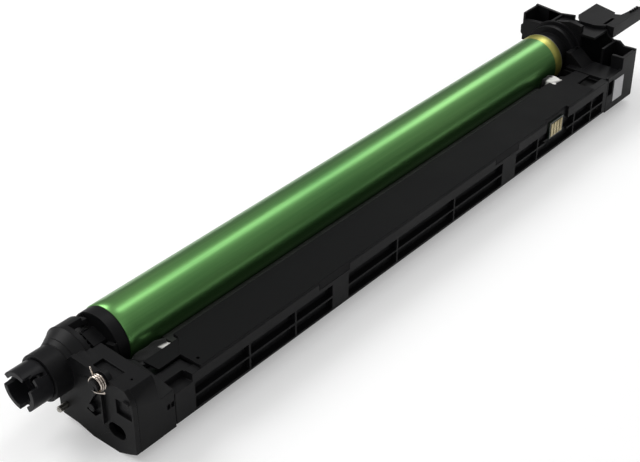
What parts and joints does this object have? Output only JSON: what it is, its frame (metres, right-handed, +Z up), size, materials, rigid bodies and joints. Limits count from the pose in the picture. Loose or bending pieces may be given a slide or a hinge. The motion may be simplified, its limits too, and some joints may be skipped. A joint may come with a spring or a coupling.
{
  "type": "printer drum unit",
  "caption": "Imaging drum unit: moulded frame with a green coated drum, drive coupling, cleaning blade, charge roller, toner auger and a pull handle.",
  "frame": {"origin": "on the drum axis at the mouth of the drive coupling", "axes": "+X along the drum from the drive coupling to the pull handle, +Y to the open side of the drum, +Z up"},
  "size_m": [0.477, 0.0719, 0.0473],
  "materials": {
    "black_plastic": "fine moulded texture",
    "cover_plastic": "smooth satin moulding",
    "coupling_plastic": "satin moulding",
    "gear_plastic": "natural acetal",
    "bush_plastic": "natural bearing plastic",
    "drum_green": "glossy green coated aluminium tube",
    "steel": "bright sheet and wire",
    "spring_steel": "bright wire",
    "blade_rubber": "dark urethane",
    "roller_rubber": "smooth rubber",
    "foam": "open foam",
    "felt": "white felt",
    "film": "clear grey film",
    "board": "green circuit board",
    "gold": "gold plated contacts",
    "label": "blank white label"
  },
  "bodies": {
    "frame": {"main_frame": "black_plastic", "top_cover": "cover_plastic", "near_end_frame": "black_plastic", "near_end_plate": "black_plastic", "near_bush": "bush_plastic", "far_end_frame": "black_plastic", "pull_handle": "cover_plastic", "drum_pin": "steel", "torsion_spring": "spring_steel", "guide_pin": "steel", "blade_bracket": "steel", "cleaning_blade": "blade_rubber", "bracket_screws": "steel", "end_screws": "steel", "felt_seal_near": "felt", "felt_seal_far": "felt", "film_seal": "film", "chip_board": "board", "chip_contacts": "gold", "blank_label": "label", "roller_bearing_near": "gear_plastic", "roller_bearing_far": "gear_plastic", "roller_spring_near": "steel", "roller_spring_far": "steel", "bias_contact": "steel"},
    "drum": {"drum_tube": "drum_green", "drive_flange": "black_plastic", "drive_coupling": "coupling_plastic", "drum_gear": "gear_plastic", "far_flange": "black_plastic", "earth_contact": "steel"},
    "idler": {"idler_gear": "gear_plastic"},
    "auger": {"auger": "gear_plastic", "auger_gear": "gear_plastic"},
    "charge_roller": {"charge_core": "steel", "charge_rubber": "roller_rubber"},
    "cleaner_roller": {"cleaner_core": "steel", "cleaner_foam": "foam"}
  },
  "joints": [
    {"name": "drum_spin", "type": "hinge", "parent": "frame", "child": "drum", "pos_m": [0.028, 0, 0], "axis": [1, 0, 0], "continuous": true},
    {"name": "idler_spin", "type": "hinge", "parent": "frame", "child": "idler", "pos_m": [0.028, -0.0177, -0.00745], "axis": [1, 0, 0], "continuous": true},
    {"name": "auger_spin", "type": "hinge", "parent": "frame", "child": "auger", "pos_m": [0.028, -0.034, -0.0115], "axis": [1, 0, 0], "continuous": true},
    {"name": "charge_spin", "type": "hinge", "parent": "frame", "child": "charge_roller", "pos_m": [0.028, -0.01435, -0.01435], "axis": [1, 0, 0], "continuous": true},
    {"name": "cleaner_spin", "type": "hinge", "parent": "frame", "child": "cleaner_roller", "pos_m": [0.028, -0.02237, -0.0165], "axis": [1, 0, 0], "continuous": true}
  ],
  "couplings": [
    {"joint": "idler_spin", "follows": "drum_spin", "ratio": -1.1818},
    {"joint": "auger_spin", "follows": "drum_spin", "ratio": 1.3},
    {"joint": "charge_spin", "follows": "drum_spin", "ratio": -3},
    {"joint": "cleaner_spin", "follows": "drum_spin", "ratio": 5}
  ]
}
